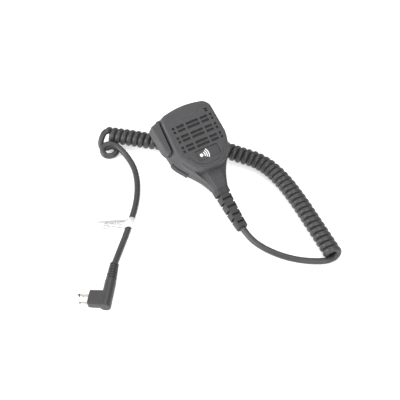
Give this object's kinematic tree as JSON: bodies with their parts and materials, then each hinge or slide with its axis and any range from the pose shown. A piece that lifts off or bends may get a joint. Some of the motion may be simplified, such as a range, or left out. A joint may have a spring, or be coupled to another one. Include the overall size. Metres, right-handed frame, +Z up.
{
  "type": "hand microphone",
  "caption": "Speaker microphone head with push-to-talk bar, grille, swivelling belt clip, curly cord and an angled two-pin plug.",
  "frame": {"origin": "middle of the footprint of the microphone head with its strain relief, without the cord, on the surface it lies on", "axes": "+X to the right as seen facing the grille, +Y from the cord end towards the raised top, +Z up"},
  "size_m": [0.2187, 0.2292, 0.0632],
  "materials": {
    "case": "fine moulded texture",
    "case_soft": "fine moulded texture",
    "rubber": "matte",
    "mesh_cloth": "woven",
    "label": "satin",
    "speaker_steel": "satin",
    "paper_cone": "matte",
    "board": "satin",
    "dark_parts": "matte",
    "screw_steel": "satin",
    "brass": "satin",
    "clip_plastic": "matte",
    "cord_jacket": "matte",
    "plug_plastic": "matte",
    "pin_plating": "polished plating",
    "paper": "matte paper"
  },
  "bodies": {
    "root": {"front_housing": "case", "rear_housing": "case", "housing_gasket": "rubber", "speaker_gasket": "rubber", "microphone_holder": "rubber", "strain_relief": "rubber", "grille_mesh": "mesh_cloth", "label_plate": "label", "speaker_frame": "speaker_steel", "speaker_magnet": "speaker_steel", "microphone_capsule": "speaker_steel", "speaker_cone": "paper_cone", "circuit_board": "board", "board_components": "dark_parts", "ptt_switch_body": "dark_parts", "earphone_jack": "dark_parts", "cable_clamp": "dark_parts", "pin_insulators": "dark_parts", "housing_screws": "screw_steel", "board_screws": "screw_steel", "clamp_screws": "screw_steel", "swivel_screw": "screw_steel", "swivel_washer": "screw_steel", "swivel_insert": "brass", "inner_cable": "cord_jacket", "cord_lead": "cord_jacket", "cord_coil": "cord_jacket", "cord_loop": "cord_jacket", "cord_tail": "cord_jacket", "plug_boot": "cord_jacket", "plug_body": "plug_plastic", "pin_large": "pin_plating", "pin_small": "pin_plating", "cord_tag": "paper"},
    "ptt": {"ptt_button": "case_soft"},
    "switch_plunger": {"ptt_switch_plunger": "dark_parts"},
    "jack_flap": {"jack_cover": "rubber"},
    "clip_swivel_plate": {"clip_base": "clip_plastic", "clip_pin": "screw_steel", "clip_spring": "screw_steel"},
    "clip_jaw_lever": {"clip_jaw": "clip_plastic"}
  },
  "joints": [
    {"name": "ptt_press", "type": "slide", "parent": "root", "child": "ptt", "axis": [1, 0, 0], "range_m": [0, 0.0008], "stiffness_N_per_m": 1500, "springref_m": -0.0008},
    {"name": "switch_plunger_press", "type": "slide", "parent": "root", "child": "switch_plunger", "axis": [1, 0, 0], "range_m": [-0.0002, 0.001]},
    {"name": "jack_cover_hinge", "type": "hinge", "parent": "root", "child": "jack_flap", "pos_m": [-0.0243, 0.01739, 0.02729], "axis": [0, 0.4226, -0.9063], "range_deg": [0, 90], "stiffness_Nm_per_rad": 0.01, "springref_deg": -11.46},
    {"name": "clip_swivel", "type": "hinge", "parent": "root", "child": "clip_swivel_plate", "pos_m": [0.00335, 0.03416, 0.02529], "axis": [0, 0.4226, -0.9063], "continuous": true},
    {"name": "clip_jaw_hinge", "type": "hinge", "parent": "clip_swivel_plate", "child": "clip_jaw_lever", "pos_m": [0.00335, 0.04236, 0.02426], "axis": [1, 0, 0], "range_deg": [0, 14], "stiffness_Nm_per_rad": 1.2, "springref_deg": -17.19}
  ],
  "couplings": [
    {"joint": "switch_plunger_press", "follows": "ptt_press", "ratio": 1}
  ]
}
